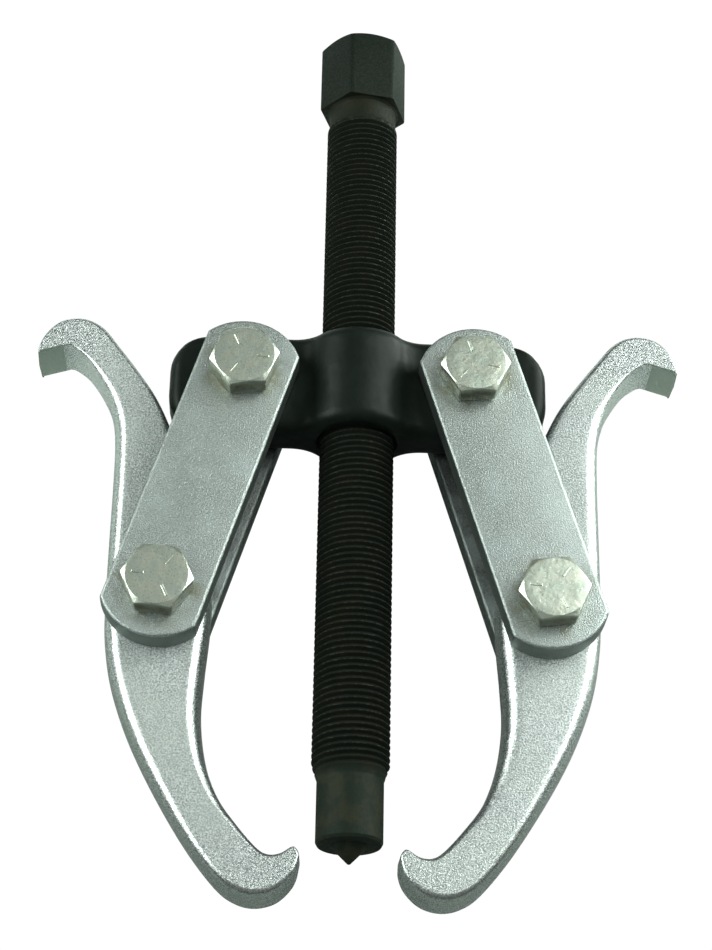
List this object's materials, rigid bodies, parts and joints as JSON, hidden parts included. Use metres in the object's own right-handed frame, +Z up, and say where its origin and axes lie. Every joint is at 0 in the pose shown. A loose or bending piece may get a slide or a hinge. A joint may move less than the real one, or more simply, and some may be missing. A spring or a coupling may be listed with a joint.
{
  "type": "gear puller",
  "caption": "Two-jaw reversible gear puller: forged yoke, hex-headed forcing screw, paired flat straps and double-ended hooked jaws.",
  "frame": {"origin": "on the plane that the tool lies on, below the middle of its overall length and width", "axes": "+Z up through the bolt heads, +Y along the forcing screw towards its hex head, +X towards the right-hand jaw"},
  "size_m": [0.1514, 0.2234, 0.0441],
  "materials": {
    "black_forging": "satin black, oiled forging",
    "black_oxide": "black oxide, rubbed bright on the thread crests",
    "zinc_strap": "zinc plated flat bar, fine grain",
    "zinc_forging": "zinc plated rough forging, sparkling",
    "zinc_bolt": "zinc plated, slight yellow-green tint",
    "nylon": "off-white nylon"
  },
  "bodies": {
    "yoke": {"yoke": "black_forging"},
    "left_arm": {"left_front_strap": "zinc_strap", "left_rear_strap": "zinc_strap", "left_yoke_bolt": "zinc_bolt", "left_yoke_nut": "zinc_bolt", "left_yoke_nut_ring": "nylon", "left_jaw_bolt": "zinc_bolt", "left_jaw_nut": "zinc_bolt", "left_jaw_nut_ring": "nylon"},
    "left_jaw_body": {"left_jaw": "zinc_forging"},
    "right_arm": {"right_front_strap": "zinc_strap", "right_rear_strap": "zinc_strap", "right_yoke_bolt": "zinc_bolt", "right_yoke_nut": "zinc_bolt", "right_yoke_nut_ring": "nylon", "right_jaw_bolt": "zinc_bolt", "right_jaw_nut": "zinc_bolt", "right_jaw_nut_ring": "nylon"},
    "right_jaw_body": {"right_jaw": "zinc_forging"},
    "centre_point": {"screw_point": "black_oxide"},
    "screw_body": {"forcing_screw": "black_oxide"}
  },
  "joints": [
    {"name": "left_arm_swing", "type": "hinge", "parent": "yoke", "child": "left_arm", "pos_m": [-0.02665, 0.01227, 0.02535], "axis": [0, 0, -1], "range_deg": [-1, 85]},
    {"name": "left_jaw_pivot", "type": "hinge", "parent": "left_arm", "child": "left_jaw_body", "pos_m": [-0.04372, -0.04357, 0.02535], "axis": [0, 0, -1], "range_deg": [-2.5, 2.3]},
    {"name": "right_arm_swing", "type": "hinge", "parent": "yoke", "child": "right_arm", "pos_m": [0.02665, 0.01227, 0.02535], "axis": [0, 0, 1], "range_deg": [-1, 85]},
    {"name": "right_jaw_pivot", "type": "hinge", "parent": "right_arm", "child": "right_jaw_body", "pos_m": [0.04372, -0.04357, 0.02535], "axis": [0, 0, 1], "range_deg": [-2.5, 2.3]},
    {"name": "screw_advance", "type": "slide", "parent": "yoke", "child": "centre_point", "axis": [0, -1, 0], "range_m": [-0.0746, 0.0587]},
    {"name": "screw_turn", "type": "hinge", "parent": "centre_point", "child": "screw_body", "pos_m": [0, 0.01227, 0.02535], "axis": [0, -1, 0], "range_deg": [-17904, 14088]}
  ],
  "couplings": [
    {"joint": "screw_turn", "follows": "screw_advance", "rad_per_m": 4188.8}
  ]
}
